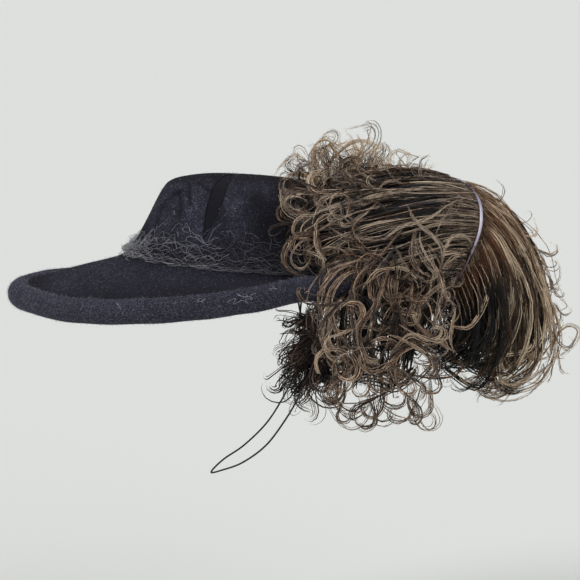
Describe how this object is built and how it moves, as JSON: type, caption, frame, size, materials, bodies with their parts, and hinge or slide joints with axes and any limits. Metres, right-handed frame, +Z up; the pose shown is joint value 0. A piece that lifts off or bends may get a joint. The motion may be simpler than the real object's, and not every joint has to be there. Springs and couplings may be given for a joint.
{
  "type": "plumed felt tilt hat",
  "caption": "Wide-brim wool-felt tilt hat with a padded rolled rim, a gathered net veil round the crown, curled ostrich plumes falling at the back and an elastic that goes under the chin.",
  "frame": {"origin": "middle of the head opening, where the head enters the crown", "axes": "+Z up the crown's axis, -Y the front of the hat, +X the wearer's left, where the plumes hang"},
  "size_m": [0.253, 0.4046, 0.2508],
  "materials": {
    "wool_felt": "matt black wool felt, brushed to a short nap in places",
    "inset_felt": "smooth black felt",
    "veil_thread": "fine grey net thread",
    "plume_tan": "soft tan ostrich barbs",
    "plume_brown": "soft brown ostrich barbs",
    "plume_light": "airy light tan ostrich barbs",
    "plume_dark": "soft brown-black ostrich barbs",
    "quill": "pale lilac horn of the plume's quill",
    "elastic": "thin black covered elastic"
  },
  "bodies": {
    "root": {"felt_body": "wool_felt", "crown_inset": "inset_felt", "rim_roll": "wool_felt", "veil_net": "veil_thread", "plume_sweep": "plume_tan", "plume_far": "plume_dark", "plume_curls": "plume_brown", "plume_top": "plume_light", "plume_under": "plume_dark", "chin_elastic": "elastic", "elastic_knot_left": "elastic", "elastic_knot_right": "elastic"}
  },
  "joints": []
}
